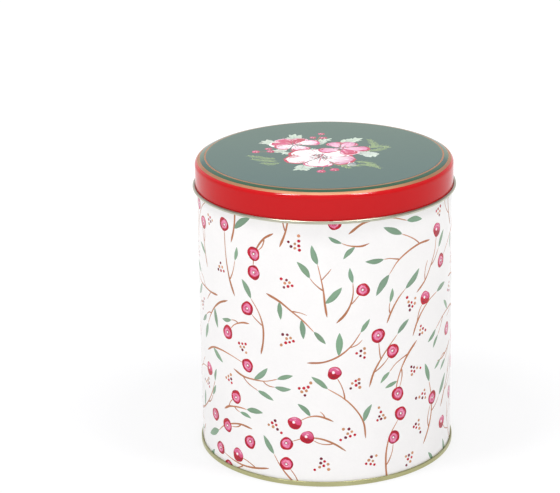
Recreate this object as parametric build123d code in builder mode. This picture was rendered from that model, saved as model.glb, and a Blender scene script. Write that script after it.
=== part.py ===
"""Round sheet-metal cookie tin with a lift-off lid.

Three pieces of tinplate, as such a tin is really made:
  body_wall   a rolled sheet with a lock seam down the back, an inward curl
              round the mouth and a flange hooked into the bottom seam
  base_plate  a drawn end, countersunk off the table, double-seamed round the
              foot of the wall
  lid         one drawn cap: flat panel, sloping shoulder, skirt and an
              outward curl round its open edge

Millimetres. Origin at the centre of the foot, +Z up. The side seam is at +Y.
Every profile is drawn in the X-Z half plane (x is the radius) and revolved.
"""
import os
from math import asin, cos, radians, sin, sqrt

from build123d import *

os.makedirs("parts", exist_ok=True)

# ---------------------------------------------------------------- dimensions
SHEET = 0.25             # tinplate thickness, all three pieces
GAP = 0.05               # air between the folded layers of the bottom seam

WALL_R = 65.0            # outside radius of the body wall
TOTAL_H = 154.5          # foot to the top of the lid panel

# bottom double seam
SEAM_H = 2.5             # height of the seam above the table
SEAM_R = WALL_R + 3 * SHEET + 3 * GAP          # outside radius of the seam
CHUCK_R = WALL_R - SHEET - GAP - SHEET         # inside radius of the chuck wall
SEAM_CORNER = 0.45       # outside corner radius under the seam
SEAM_TOP_CORNER = 0.35   # outside corner radius over the seam

# countersunk bottom panel
PANEL_Z = 3.0            # underside of the panel above the table
PANEL_BEND = 0.9         # inside bend radius, chuck wall to panel
BEAD_R = 52.0            # mean radius of the stiffening bead
BEAD_W = 5.0             # width of the bead between its two foot circles
BEAD_H = 0.8             # height of the bead

# lid
LID_H = 16.0             # lid panel to the lowest point of the curl
SKIRT_R = 65.6           # outside radius of the skirt
PANEL_FLAT_R = 59.0      # radius where the flat panel ends
SHOULDER_R = 64.4        # radius of the printed edge on the shoulder
SHOULDER_DROP = 1.73     # drop of that edge below the panel
LID_CURL = 0.825         # outside radius of the outward curl
LID_CURL_END = 128       # angle where the curl stops, short of the skirt

# mouth of the wall
MOUTH_CURL = 0.8         # outside radius of the inward curl
MOUTH_CURL_SWEEP = 302   # degrees of curl
SEAT_GAP = 0.10          # lid shoulder to mouth curl when the lid is on

# side lock seam, on the +Y side
SEAM_W = 4.0             # width of the folded strip
SEAM_FOLD = 0.5          # folded layers inside the wall
CREASE_W = 0.4           # crease left outside by the fold
CREASE_D = 0.10

# ------------------------------------------------------ lid shoulder geometry
# A gentle arc tangent to the panel, then a tighter one tangent to the skirt.
run = SHOULDER_R - PANEL_FLAT_R
R1 = (run**2 + SHOULDER_DROP**2) / (2 * SHOULDER_DROP)
slope = asin(run / R1)                                   # slope at the edge
R2 = (SKIRT_R - SHOULDER_R) / (1 - sin(slope))
C1 = (PANEL_FLAT_R, TOTAL_H - R1)
C2 = (SHOULDER_R - R2 * sin(slope), TOTAL_H - SHOULDER_DROP - R2 * cos(slope))


def on(centre, radius, angle):
    """Point on a circle in the profile plane; angle in radians from +x."""
    return (centre[0] + radius * cos(angle), centre[1] + radius * sin(angle))


# ---------------------------------------------------------------- body wall
# The mouth curl sits just under the inside of the lid's tighter arc.
curl_r = WALL_R - MOUTH_CURL
reach = R2 - SHEET - MOUTH_CURL - SEAT_GAP
curl_z = C2[1] + sqrt(reach**2 - (curl_r - C2[0]) ** 2)
curl_c = (curl_r, curl_z)

wall_in = WALL_R - SHEET
hook_in = WALL_R + SHEET + 2 * GAP          # inside of the body hook
hook_out = hook_in + SHEET                  # outside of the body hook
flange_z = SHEET + GAP                      # underside of the flange
end_a = radians(MOUTH_CURL_SWEEP)
mid_a = end_a / 2

with BuildPart() as body_wall:
    with BuildSketch(Plane.XZ):
        with BuildLine():
            # outside of the sheet, up the wall and round the curl
            Line((WALL_R, flange_z + SHEET), (WALL_R, curl_z))
            ThreePointArc(
                (WALL_R, curl_z),
                on(curl_c, MOUTH_CURL, mid_a),
                on(curl_c, MOUTH_CURL, end_a),
            )
            # cut edge of the sheet, then back along its inside
            Line(on(curl_c, MOUTH_CURL, end_a), on(curl_c, MOUTH_CURL - SHEET, end_a))
            ThreePointArc(
                on(curl_c, MOUTH_CURL - SHEET, end_a),
                on(curl_c, MOUTH_CURL - SHEET, mid_a),
                (wall_in, curl_z),
            )
            Line((wall_in, curl_z), (wall_in, SEAM_CORNER))
            # flange under the wall, turned up into the body hook
            bend = SEAM_CORNER - SHEET - GAP
            JernArc((wall_in, SEAM_CORNER), (0, -1), bend, 90)
            Line((wall_in + bend, flange_z), (hook_out - bend, flange_z))
            JernArc((hook_out - bend, flange_z), (1, 0), bend, 90)
            Line((hook_out, SEAM_CORNER), (hook_out, SEAM_H - SHEET - 3 * GAP))
            Line(
                (hook_out, SEAM_H - SHEET - 3 * GAP),
                (hook_in, SEAM_H - SHEET - 3 * GAP),
            )
            Line((hook_in, SEAM_H - SHEET - 3 * GAP), (hook_in, flange_z + SHEET))
            Line((hook_in, flange_z + SHEET), (WALL_R, flange_z + SHEET))
        make_face()
    revolve(axis=Axis.Z)

    # folded strip of the lock seam, standing in from the wall
    with BuildSketch(Plane.XY.offset(PANEL_Z + SHEET + 1.5)):
        Circle(wall_in + SHEET / 2)
        Circle(wall_in - SEAM_FOLD, mode=Mode.SUBTRACT)
        with Locations((0, WALL_R)):
            Rectangle(SEAM_W, 8, mode=Mode.INTERSECT)
    extrude(amount=curl_z - MOUTH_CURL - 1.5 - (PANEL_Z + SHEET + 1.5))

    # the crease it leaves outside
    with BuildSketch(Plane.XY.offset(SEAM_H + 0.6)):
        Circle(WALL_R + 1)
        Circle(WALL_R - CREASE_D, mode=Mode.SUBTRACT)
        with Locations((SEAM_W / 2, WALL_R)):
            Rectangle(CREASE_W, 4, mode=Mode.INTERSECT)
    extrude(amount=curl_z - 1.0 - (SEAM_H + 0.6), mode=Mode.SUBTRACT)

body_wall.part.label = "body_wall"
export_step(body_wall.part, "parts/body_wall.step")

# ---------------------------------------------------------------- base plate
cover_in = WALL_R + GAP                 # inside of the cover hook
cover_out = cover_in + SHEET
low_in = SEAM_CORNER - SHEET            # inside corner radius, bottom
top_in = SEAM_TOP_CORNER - SHEET        # inside corner radius, top
hook_foot = flange_z + SHEET + 2 * GAP  # bottom edge of the cover hook
top_z = SEAM_H - SEAM_TOP_CORNER

with BuildPart() as base_plate:
    with BuildSketch(Plane.XZ):
        with BuildLine():
            # outside of the end: cover hook, seaming wall, foot, chuck wall
            Line((cover_in, hook_foot), (cover_in, top_z))
            JernArc((cover_in, top_z), (0, 1), SEAM_TOP_CORNER, -90)
            Line(
                (cover_in + SEAM_TOP_CORNER, SEAM_H), (SEAM_R - SEAM_TOP_CORNER, SEAM_H)
            )
            JernArc((SEAM_R - SEAM_TOP_CORNER, SEAM_H), (1, 0), SEAM_TOP_CORNER, -90)
            Line((SEAM_R, top_z), (SEAM_R, SEAM_CORNER))
            JernArc((SEAM_R, SEAM_CORNER), (0, -1), SEAM_CORNER, -90)
            Line((SEAM_R - SEAM_CORNER, 0), (CHUCK_R + SEAM_CORNER, 0))
            JernArc((CHUCK_R + SEAM_CORNER, 0), (-1, 0), SEAM_CORNER, -90)
            Line((CHUCK_R, SEAM_CORNER), (CHUCK_R, PANEL_Z - PANEL_BEND))
            JernArc((CHUCK_R, PANEL_Z - PANEL_BEND), (0, 1), PANEL_BEND, 90)
            # underside of the panel with its bead, in to the axis
            Line((CHUCK_R - PANEL_BEND, PANEL_Z), (BEAD_R + BEAD_W / 2, PANEL_Z))
            ThreePointArc(
                (BEAD_R + BEAD_W / 2, PANEL_Z),
                (BEAD_R, PANEL_Z + BEAD_H),
                (BEAD_R - BEAD_W / 2, PANEL_Z),
            )
            Line((BEAD_R - BEAD_W / 2, PANEL_Z), (0, PANEL_Z))
            Line((0, PANEL_Z), (0, PANEL_Z + SHEET))
            # back out along the upper face
            Line((0, PANEL_Z + SHEET), (BEAD_R - BEAD_W / 2, PANEL_Z + SHEET))
            ThreePointArc(
                (BEAD_R - BEAD_W / 2, PANEL_Z + SHEET),
                (BEAD_R, PANEL_Z + SHEET + BEAD_H),
                (BEAD_R + BEAD_W / 2, PANEL_Z + SHEET),
            )
            Line(
                (BEAD_R + BEAD_W / 2, PANEL_Z + SHEET),
                (CHUCK_R - PANEL_BEND, PANEL_Z + SHEET),
            )
            JernArc(
                (CHUCK_R - PANEL_BEND, PANEL_Z + SHEET), (1, 0), PANEL_BEND + SHEET, -90
            )
            Line((CHUCK_R + SHEET, PANEL_Z - PANEL_BEND), (CHUCK_R + SHEET, SEAM_CORNER))
            JernArc((CHUCK_R + SHEET, SEAM_CORNER), (0, -1), low_in, 90)
            Line((CHUCK_R + SEAM_CORNER, SHEET), (SEAM_R - SEAM_CORNER, SHEET))
            JernArc((SEAM_R - SEAM_CORNER, SHEET), (1, 0), low_in, 90)
            Line((SEAM_R - SHEET, SEAM_CORNER), (SEAM_R - SHEET, top_z))
            JernArc((SEAM_R - SHEET, top_z), (0, 1), top_in, 90)
            Line(
                (SEAM_R - SEAM_TOP_CORNER, SEAM_H - SHEET),
                (cover_in + SEAM_TOP_CORNER, SEAM_H - SHEET),
            )
            JernArc((cover_in + SEAM_TOP_CORNER, SEAM_H - SHEET), (-1, 0), top_in, 90)
            Line((cover_out, top_z), (cover_out, hook_foot))
            Line((cover_out, hook_foot), (cover_in, hook_foot))
        make_face()
    revolve(axis=Axis.Z)

base_plate.part.label = "base_plate"
export_step(base_plate.part, "parts/base_plate.step")

# ----------------------------------------------------------------------- lid
skirt_in = SKIRT_R - SHEET
ring_c = (skirt_in + LID_CURL, TOTAL_H - LID_H + LID_CURL)
stop_a = radians(LID_CURL_END)
edge_a = radians(90) - slope            # direction of the printed edge from C1
half1 = radians(90) - slope / 2
half2 = edge_a / 2

with BuildPart() as lid:
    with BuildSketch(Plane.XZ):
        with BuildLine():
            # top face, shoulder and outside of the skirt
            Line((0, TOTAL_H), (PANEL_FLAT_R, TOTAL_H))
            ThreePointArc((PANEL_FLAT_R, TOTAL_H), on(C1, R1, half1), on(C1, R1, edge_a))
            ThreePointArc(on(C1, R1, edge_a), on(C2, R2, half2), (SKIRT_R, C2[1]))
            Line((SKIRT_R, C2[1]), (SKIRT_R, ring_c[1]))
            # inside of the curl, from the skirt round to its cut edge
            ThreePointArc(
                (SKIRT_R, ring_c[1]),
                on(ring_c, LID_CURL - SHEET, (stop_a - radians(180)) / 2),
                on(ring_c, LID_CURL - SHEET, stop_a),
            )
            Line(on(ring_c, LID_CURL - SHEET, stop_a), on(ring_c, LID_CURL, stop_a))
            # outside of the curl, back to the inside of the skirt
            ThreePointArc(
                on(ring_c, LID_CURL, stop_a),
                on(ring_c, LID_CURL, (stop_a - radians(180)) / 2),
                (skirt_in, ring_c[1]),
            )
            Line((skirt_in, ring_c[1]), (skirt_in, C2[1]))
            # inside of the shoulder and panel
            ThreePointArc(
                (skirt_in, C2[1]), on(C2, R2 - SHEET, half2), on(C2, R2 - SHEET, edge_a)
            )
            ThreePointArc(
                on(C2, R2 - SHEET, edge_a),
                on(C1, R1 - SHEET, half1),
                (PANEL_FLAT_R, TOTAL_H - SHEET),
            )
            Line((PANEL_FLAT_R, TOTAL_H - SHEET), (0, TOTAL_H - SHEET))
            Line((0, TOTAL_H - SHEET), (0, TOTAL_H))
        make_face()
    revolve(axis=Axis.Z)

lid.part.label = "lid"
export_step(lid.part, "parts/lid.step")

for piece in (body_wall, base_plate, lid):
    box = piece.part.bounding_box()
    print(
        piece.part.label,
        "solids", len(piece.part.solids()),
        "volume %.0f" % piece.part.volume,
        "z %.2f..%.2f" % (box.min.Z, box.max.Z),
        "r %.2f" % box.max.X,
        "valid", piece.part.is_valid,
    )
print("seam r %.2f, mouth top %.2f, shoulder radii %.2f %.2f" % (
    SEAM_R, curl_z + MOUTH_CURL, R1, R2))
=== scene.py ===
"""The cookie tin's looks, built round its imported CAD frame.

Three sheet-metal pieces, each one closed mesh: the printed wall, the drawn
bottom and the printed lid. The print is laid into the sheet as coloured faces,
so its edges stay sharp; the inks, varnish and bare metal are node materials.
Working units are millimetres; meshes are written in metres.
"""

import math

import bpy
import numpy as np
from mathutils import Matrix, Vector
from mathutils.geometry import delaunay_2d_cdt


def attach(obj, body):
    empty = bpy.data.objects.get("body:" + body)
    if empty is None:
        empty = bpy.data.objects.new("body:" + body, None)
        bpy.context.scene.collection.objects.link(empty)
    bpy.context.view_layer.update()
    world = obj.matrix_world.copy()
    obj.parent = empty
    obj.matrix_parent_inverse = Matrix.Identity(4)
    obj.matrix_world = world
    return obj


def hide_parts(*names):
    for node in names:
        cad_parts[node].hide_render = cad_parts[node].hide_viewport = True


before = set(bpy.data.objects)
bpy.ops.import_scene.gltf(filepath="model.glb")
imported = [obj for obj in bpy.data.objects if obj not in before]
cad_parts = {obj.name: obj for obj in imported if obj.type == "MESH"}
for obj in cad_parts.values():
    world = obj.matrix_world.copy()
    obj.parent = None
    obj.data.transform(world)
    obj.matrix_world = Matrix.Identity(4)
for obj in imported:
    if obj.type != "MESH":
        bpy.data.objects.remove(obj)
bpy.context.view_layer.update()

# --------------------------------------------------------------- dimensions
SHEET, GAP = 0.25, 0.05
WALL_R, TOTAL_H = 65.0, 154.5
SEAM_H = 2.5
SEAM_R = WALL_R + 3 * SHEET + 3 * GAP
CHUCK_R = WALL_R - SHEET - GAP - SHEET
SEAM_CORNER, SEAM_TOP = 0.45, 0.35
PANEL_Z, PANEL_BEND = 3.0, 0.9
BEAD_R, BEAD_W, BEAD_H = 52.0, 5.0, 0.8
LID_H, SKIRT_R = 16.0, 65.6
FLAT_R, EDGE_R, EDGE_DROP = 59.0, 64.4, 1.73
LID_CURL, LID_CURL_END = 0.825, 128.0
MOUTH_CURL, MOUTH_SWEEP, SEAT_GAP = 0.8, 302.0, 0.10
SEAM_W, SEAM_FOLD, CREASE_D = 4.0, 0.5, 0.10

run = EDGE_R - FLAT_R
R1 = (run**2 + EDGE_DROP**2) / (2 * EDGE_DROP)
SLOPE = math.asin(run / R1)
R2 = (SKIRT_R - EDGE_R) / (1 - math.sin(SLOPE))
C1 = (FLAT_R, TOTAL_H - R1)
C2 = (EDGE_R - R2 * math.sin(SLOPE), TOTAL_H - EDGE_DROP - R2 * math.cos(SLOPE))
WALL_IN = WALL_R - SHEET
CURL_R = WALL_R - MOUTH_CURL
CURL_Z = C2[1] + math.sqrt(
    (R2 - SHEET - MOUTH_CURL - SEAT_GAP) ** 2 - (CURL_R - C2[0]) ** 2
)
PRINT_LO, PRINT_HI = 2.2, 149.6     # the printed band of the wall
CREASE = math.pi * WALL_R - SEAM_W / 2   # where the wall's two edges meet
TURN = 2 * math.pi * WALL_R


def srgb(r, g, b):
    """Linear colour from 8-bit numbers."""
    c = np.array([r, g, b], float) / 255
    return np.where(c <= 0.04045, c / 12.92, ((c + 0.055) / 1.055) ** 2.4)


WHITE = srgb(247, 245, 243)
GREEN = srgb(55, 92, 70)
RED = srgb(199, 22, 26)
CRIMSON = srgb(189, 10, 42)
DEEP = srgb(120, 20, 48)
PINK = srgb(233, 128, 168)
ROSE = srgb(214, 70, 118)
BLUSH = srgb(249, 196, 215)
MAUVE = srgb(214, 118, 160)
LEAF = srgb(127, 159, 131)
LEAF_DARK = srgb(108, 143, 118)
TWIG = srgb(192, 128, 90)
TWIG_DARK = srgb(172, 108, 74)
TAN = srgb(201, 140, 100)
CREAM = srgb(253, 249, 246)
SAGE = srgb(206, 219, 200)
SAGE_DARK = srgb(142, 168, 142)
FIR = srgb(164, 186, 106)
FIR_DARK = srgb(132, 158, 92)
LILAC = srgb(196, 188, 208)


# -------------------------------------------------------------------- brush
def spline(points, step=1.0):
    """Points along a smooth curve through the given ones."""
    p = np.array(points, float)
    q = np.vstack([2 * p[0] - p[1], p, 2 * p[-1] - p[-2]])
    out = []
    for a, b, c, d in zip(q[:-3], q[1:-2], q[2:-1], q[3:]):
        n = max(2, int(np.linalg.norm(c - b) / step) + 1)
        t = np.linspace(0, 1, n, endpoint=False)[:, None]
        out.append(
            0.5
            * (
                2 * b
                + (c - a) * t
                + (2 * a - 5 * b + 4 * c - d) * t**2
                + (3 * b - a - 3 * c + d) * t**3
            )
        )
    return np.vstack(out + [p[-1:]])


def wobble(t, rng, amount, waves=3):
    """A smooth random factor near 1 along t."""
    f = np.zeros_like(t)
    for k in range(1, waves + 1):
        f += np.sin(2 * np.pi * (k * t * rng.uniform(0.7, 1.3) + rng.uniform())) / k
    return 1 + amount * f


def stroke(points, w0, w1, rng, step=1.0, rough=0.10, bow=0.03, foot=0.0):
    """Outline of one pull of a brush, w0 wide at its start and w1 at its end."""
    p = [np.array(x, float) for x in points]
    if len(p) == 2:
        d = p[1] - p[0]
        p = [p[0], (p[0] + p[1]) / 2 + np.array([-d[1], d[0]]) * rng.choice([-1, 1]) * bow, p[1]]
    line = spline(p, step)
    d = np.gradient(line, axis=0)
    d /= np.maximum(np.linalg.norm(d, axis=1, keepdims=True), 1e-9)
    side = np.stack([-d[:, 1], d[:, 0]], 1)
    far = np.concatenate([[0], np.cumsum(np.linalg.norm(np.diff(line, axis=0), axis=1))])
    t = far / far[-1]
    w = (w0 + (w1 - w0) * t) / 2 * wobble(t, rng, rough)
    if foot:
        w = w * np.clip(0.45 + far / foot, 0, 1)
    near = np.minimum(far, far[-1] - far)
    w = w * np.sqrt(np.clip(near / (0.6 * max(w0, w1)) + 0.25, 0, 1))
    w = np.maximum(w, 0.06)[:, None]
    return np.vstack(
        [
            line[:1] - d[:1] * w[0] * 0.9,
            line - side * w,
            line[-1:] + d[-1:] * w[-1] * 0.9,
            (line + side * w)[::-1],
        ]
    )


def leaf(x0, y0, x1, y1, width, rng, lobes=0, n=11, full=0.8, bend=None):
    """Outline of a leaf from its base to its tip, and its bowed midline."""
    a, b = np.array([x0, y0], float), np.array([x1, y1], float)
    d = b - a
    s = np.array([-d[1], d[0]]) / np.linalg.norm(d)
    bend = rng.uniform(-0.07, 0.07) if bend is None else bend
    if lobes:
        n = 7 * lobes
    t = np.linspace(0, 1, n)
    mid = a + d * t[:, None] + s * (np.sin(np.pi * t) * bend * np.linalg.norm(d))[:, None]
    h = width / 2 * np.sin(np.pi * np.clip(t, 0, 1) ** 0.92) ** full
    left, right = h * wobble(t, rng, 0.05), h * wobble(t, rng, 0.05)
    if lobes:
        cut = 1 + 0.42 * np.sin(2 * np.pi * lobes * t - 1.2) * np.clip(4 * t * (1 - t), 0, 1)
        left, right = left * cut, right * np.roll(cut, 1)
    left[[0, -1]] = right[[0, -1]] = 0
    return (
        np.vstack([mid[:1], (mid - s * right[:, None])[1:-1], mid[-1:], (mid + s * left[:, None])[1:-1][::-1]]),
        mid,
    )


def blob(x, y, r, rng, n=26, wob=0.05):
    """Outline of a hand-painted spot."""
    a = np.linspace(0, 2 * np.pi, n, endpoint=False)
    f = rng.uniform(0, 2 * np.pi, 3)
    rr = r * (1 + wob * (0.6 * np.sin(2 * a + f[0]) + 0.5 * np.sin(3 * a + f[1]) + 0.3 * np.sin(5 * a + f[2])))
    return np.stack([x + rr * np.cos(a), y + rr * np.sin(a)], 1)


def sweep(x, y, r, a0, a1, n=4):
    """Points on an arc, angles in degrees."""
    a = np.radians(np.linspace(a0, a1, n))
    return np.stack([x + r * np.cos(a), y + r * np.sin(a)], 1)


def petal(x, y, angle, length, width, rng, notch=0.10, n=13):
    """Outline of a broad petal that starts near x, y, with its own axes."""
    t = np.linspace(0, 1, n)
    u = np.array([math.cos(math.radians(angle)), math.sin(math.radians(angle))])
    s = np.array([-u[1], u[0]])
    h = width / 2 * (0.16 + 0.84 * np.sin(np.pi / 2 * np.clip(t * 1.35, 0, 1)) ** 1.3)
    h = h * np.sqrt(np.clip((1.0 - t) / 0.30, 0, 1))
    c = np.array([x, y]) + u * (0.10 * length)
    a, b = h * wobble(t, rng, 0.05), h * wobble(t, rng, 0.05)
    along = t * length * 0.95
    right = c + u * along[:, None] - s * a[:, None]
    left = c + u * along[:, None] + s * b[:, None]
    tip = c + u * (0.95 * length * (1 - notch))
    return np.vstack([right[:-1], tip, left[:-1][::-1]]), u, s, c


def one(colour):
    colour = np.array(colour, float)
    return lambda p: np.broadcast_to(colour, (len(p), 3))


def fade(p0, p1, c0, c1):
    """Colour that runs from c0 at p0 to c1 at p1."""
    p0, p1, c0, c1 = (np.array(x, float) for x in (p0, p1, c0, c1))
    d = p1 - p0
    return lambda p: c0 + (c1 - c0) * np.clip(((p - p0) @ d) / max(d @ d, 1e-9), 0, 1)[:, None]


def shade(colour, rng, amount=0.10):
    """The colour, a little lighter or darker and warmer or cooler."""
    c = np.array(colour, float) * (1 + rng.uniform(-amount, amount))
    return np.clip(c * (1 + rng.uniform(-amount, amount, 3) * 0.35), 0, 1)


# --------------------------------------------------------- print on the wall
def paint_berry(out, x, y, kind, rng):
    r = rng.uniform(3.45, 3.75)
    a = rng.uniform(0, 360)
    rim = shade(CRIMSON, rng, 0.10)
    out.append((blob(x, y, r, rng, 24, 0.07), fade((x - r, y + r), (x + r, y - r), rim * 1.08, rim * 0.86)))
    if kind == "b":
        # a lit upper half over a crimson lower one
        pts = np.vstack([sweep(x, y, r * 0.90, a % 40 - 25, a % 40 + 150, 14), spline(
            [(x - 0.75 * r, y + 0.25 * r), (x - 0.1 * r, y + 0.15 * r), (x + 0.35 * r, y - 0.25 * r), (x + 0.8 * r, y - 0.2 * r)], 0.6)])
        ctr = pts.mean(0)
        order = np.argsort(np.arctan2(*(pts - ctr).T[::-1]))
        out.append((pts[order], fade((x, y + r), (x, y), shade(PINK, rng), shade(ROSE, rng))))
        for k in range(3):
            b = rng.uniform(10, 90)
            out.append((stroke(sweep(x, y, r * rng.uniform(0.45, 0.8), b, b + rng.uniform(35, 60)), 0.3, 0.15, rng, 0.5), one(shade(BLUSH if k else ROSE, rng))))
        for k in range(2):
            b = rng.uniform(200, 290)
            out.append((stroke(sweep(x, y, r * rng.uniform(0.5, 0.75), b, b + 50), 0.35, 0.15, rng, 0.5), one(shade(DEEP, rng))))
        out.append((blob(x - 0.15 * r, y + 0.10 * r, 0.78, rng, 16, 0.06), one(shade(BLUSH, rng, 0.03))))
        out.append((blob(x - 0.17 * r, y + 0.13 * r, 0.60, rng, 16, 0.06), one(CREAM)))
        return
    # darker dabs on the rim
    for k in range(2):
        b = a + 40 + k * 160 + rng.uniform(-30, 30)
        out.append((stroke(sweep(x, y, r * 0.90, b, b + rng.uniform(40, 80), 5), 0.42, 0.2, rng, 0.6), one(shade(DEEP, rng))))
    cx, cy = x + rng.uniform(-0.35, 0.35), y + rng.uniform(-0.35, 0.35)
    body = shade(PINK, rng, 0.08)
    out.append((blob(cx, cy, r * 0.68, rng, 20, 0.13), fade((cx - r, cy + r), (cx + r, cy - r), body * 1.06, body * 0.92)))
    for k in range(3):
        b = a + k * 120 + rng.uniform(-25, 25)
        out.append((stroke(sweep(cx, cy, r * rng.uniform(0.60, 0.70), b, b + rng.uniform(60, 95), 5), 0.55, 0.2, rng, 0.5), one(shade(CRIMSON if k == 1 else ROSE, rng))))
    for k in range(3):
        b = a + 60 + k * 115 + rng.uniform(-25, 25)
        out.append((stroke(sweep(cx, cy, r * rng.uniform(0.36, 0.50), b, b + rng.uniform(50, 90), 4), 0.34, 0.15, rng, 0.5), one(shade(BLUSH if k else ROSE, rng, 0.05))))
    out.append((stroke(sweep(cx, cy, r * 0.30, a, a + 250, 7), 0.30, 0.18, rng, 0.4), one(shade(CRIMSON, rng))))
    dx, dy = cx + rng.uniform(-0.3, 0.3), cy + rng.uniform(-0.3, 0.3)
    out.append((blob(dx, dy, 0.80, rng, 16, 0.08), one(shade(srgb(150, 74, 74), rng))))
    out.append((blob(dx, dy, 0.55, rng, 14, 0.06), one(CREAM)))


def paint_leaf(out, x0, y0, x1, y1, width, rng):
    body, mid = leaf(x0, y0, x1, y1, width, rng)
    c = shade(LEAF, rng, 0.09)
    out.append((body, fade((x0, y0), (x1, y1), c * 0.93, c * 1.06)))
    # the brush leaves a darker edge on one side and a faint rib
    low = mid[2:-2] + (body[2 : len(mid) - 2] - mid[2:-2]) * 0.62
    if len(low) > 3:
        out.append((stroke(low, 0.28, 0.18, rng, 1.2), one(c * 0.86)))
    out.append((stroke(mid[1:-2], 0.20, 0.12, rng, 1.5), one(np.clip(c * 1.14, 0, 1))))


def paint_cluster(out, x, y, rng):
    spin = rng.uniform(0, 2 * np.pi)
    flip = rng.choice([-1, 1])
    gap = rng.uniform(2.05, 2.35)
    spots = [(-1, 1), (0, 1), (1, 1), (-0.5, 0.1), (0.5, 0.1), (0, -0.85)]
    if rng.uniform() < 0.6:
        spots.append((rng.choice([-0.4, 0.4]), -2.0))
    if rng.uniform() < 0.4:
        spots.append((1.9, 0.2))
    for i, (u, v) in enumerate(spots):
        u, v = u * gap + rng.normal(0, 0.12), v * gap * flip + rng.normal(0, 0.12)
        px = x + u * math.cos(spin) - v * math.sin(spin)
        py = y + u * math.sin(spin) + v * math.cos(spin)
        c = [CRIMSON, TAN, DEEP, CRIMSON, TAN, CRIMSON, TAN, DEEP][(i + int(x + y)) % 8]
        out.append((blob(px, py, rng.uniform(0.70, 0.88), rng, 9, 0.05), one(shade(c, rng, 0.12))))


def paint_twig(out, points, w0, w1, rng):
    c = shade(TWIG, rng, 0.08)
    thick, thin = (points[0], points[-1]) if w0 > w1 else (points[-1], points[0])
    out.append((stroke(points, w0 * 1.12, w1 * 1.12, rng, 1.5, 0.10, 0.05, 5.0 if w0 > 0.8 else 0.0), fade(thick, thin, c * 0.90, c * 1.05)))
    if max(w0, w1) > 0.55 and len(points) > 2:
        # a darker dry pull of the brush inside the wide part
        line = spline(points, 1.6)
        part = line[: max(4, len(line) * 2 // 3)] if w0 > w1 else line[-max(4, len(line) * 2 // 3) :]
        if len(part) > 3:
            out.append((stroke(part + rng.uniform(-0.08, 0.08, 2), 0.26 * max(w0, w1) / 0.8, 0.14, rng, 1.8, 0.2), one(shade(TWIG_DARK, rng, 0.08))))


class Room:
    """Where the sheet is already painted, so that sprigs keep clear of each other."""

    def __init__(self):
        self.spots = np.zeros((0, 3))

    def gap(self, points, radius):
        """Smallest clear distance from a chain of spots to all that is painted."""
        if not len(self.spots):
            return 99.0
        p = np.atleast_2d(points)
        lo, hi = p.min(0) - 14, p.max(0) + 14
        near = self.spots[((self.spots[:, :2] > lo) & (self.spots[:, :2] < hi)).all(1)]
        if not len(near):
            return 9.0
        d = np.hypot(p[:, None, 0] - near[None, :, 0], p[:, None, 1] - near[None, :, 1])
        return float((d - near[None, :, 2]).min() - radius)

    def take(self, points, radius):
        p = np.atleast_2d(points)
        self.spots = np.vstack([self.spots, np.column_stack([p, np.full(len(p), radius)])])


def heading(a):
    return np.array([math.cos(math.radians(a)), math.sin(math.radians(a))])


def bough(p, a, length, bend, rng, n=4):
    """Points of a stem that leaves p at angle a and bends as it grows."""
    pts = [np.array(p, float)]
    for _ in range(n):
        a += bend / n + rng.normal(0, 4)
        pts.append(pts[-1] + heading(a) * length / n)
    return pts, a


def between(p, q, n):
    t = np.linspace(0, 1, n)[:, None]
    return np.array(p) + (np.array(q) - np.array(p)) * t


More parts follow.
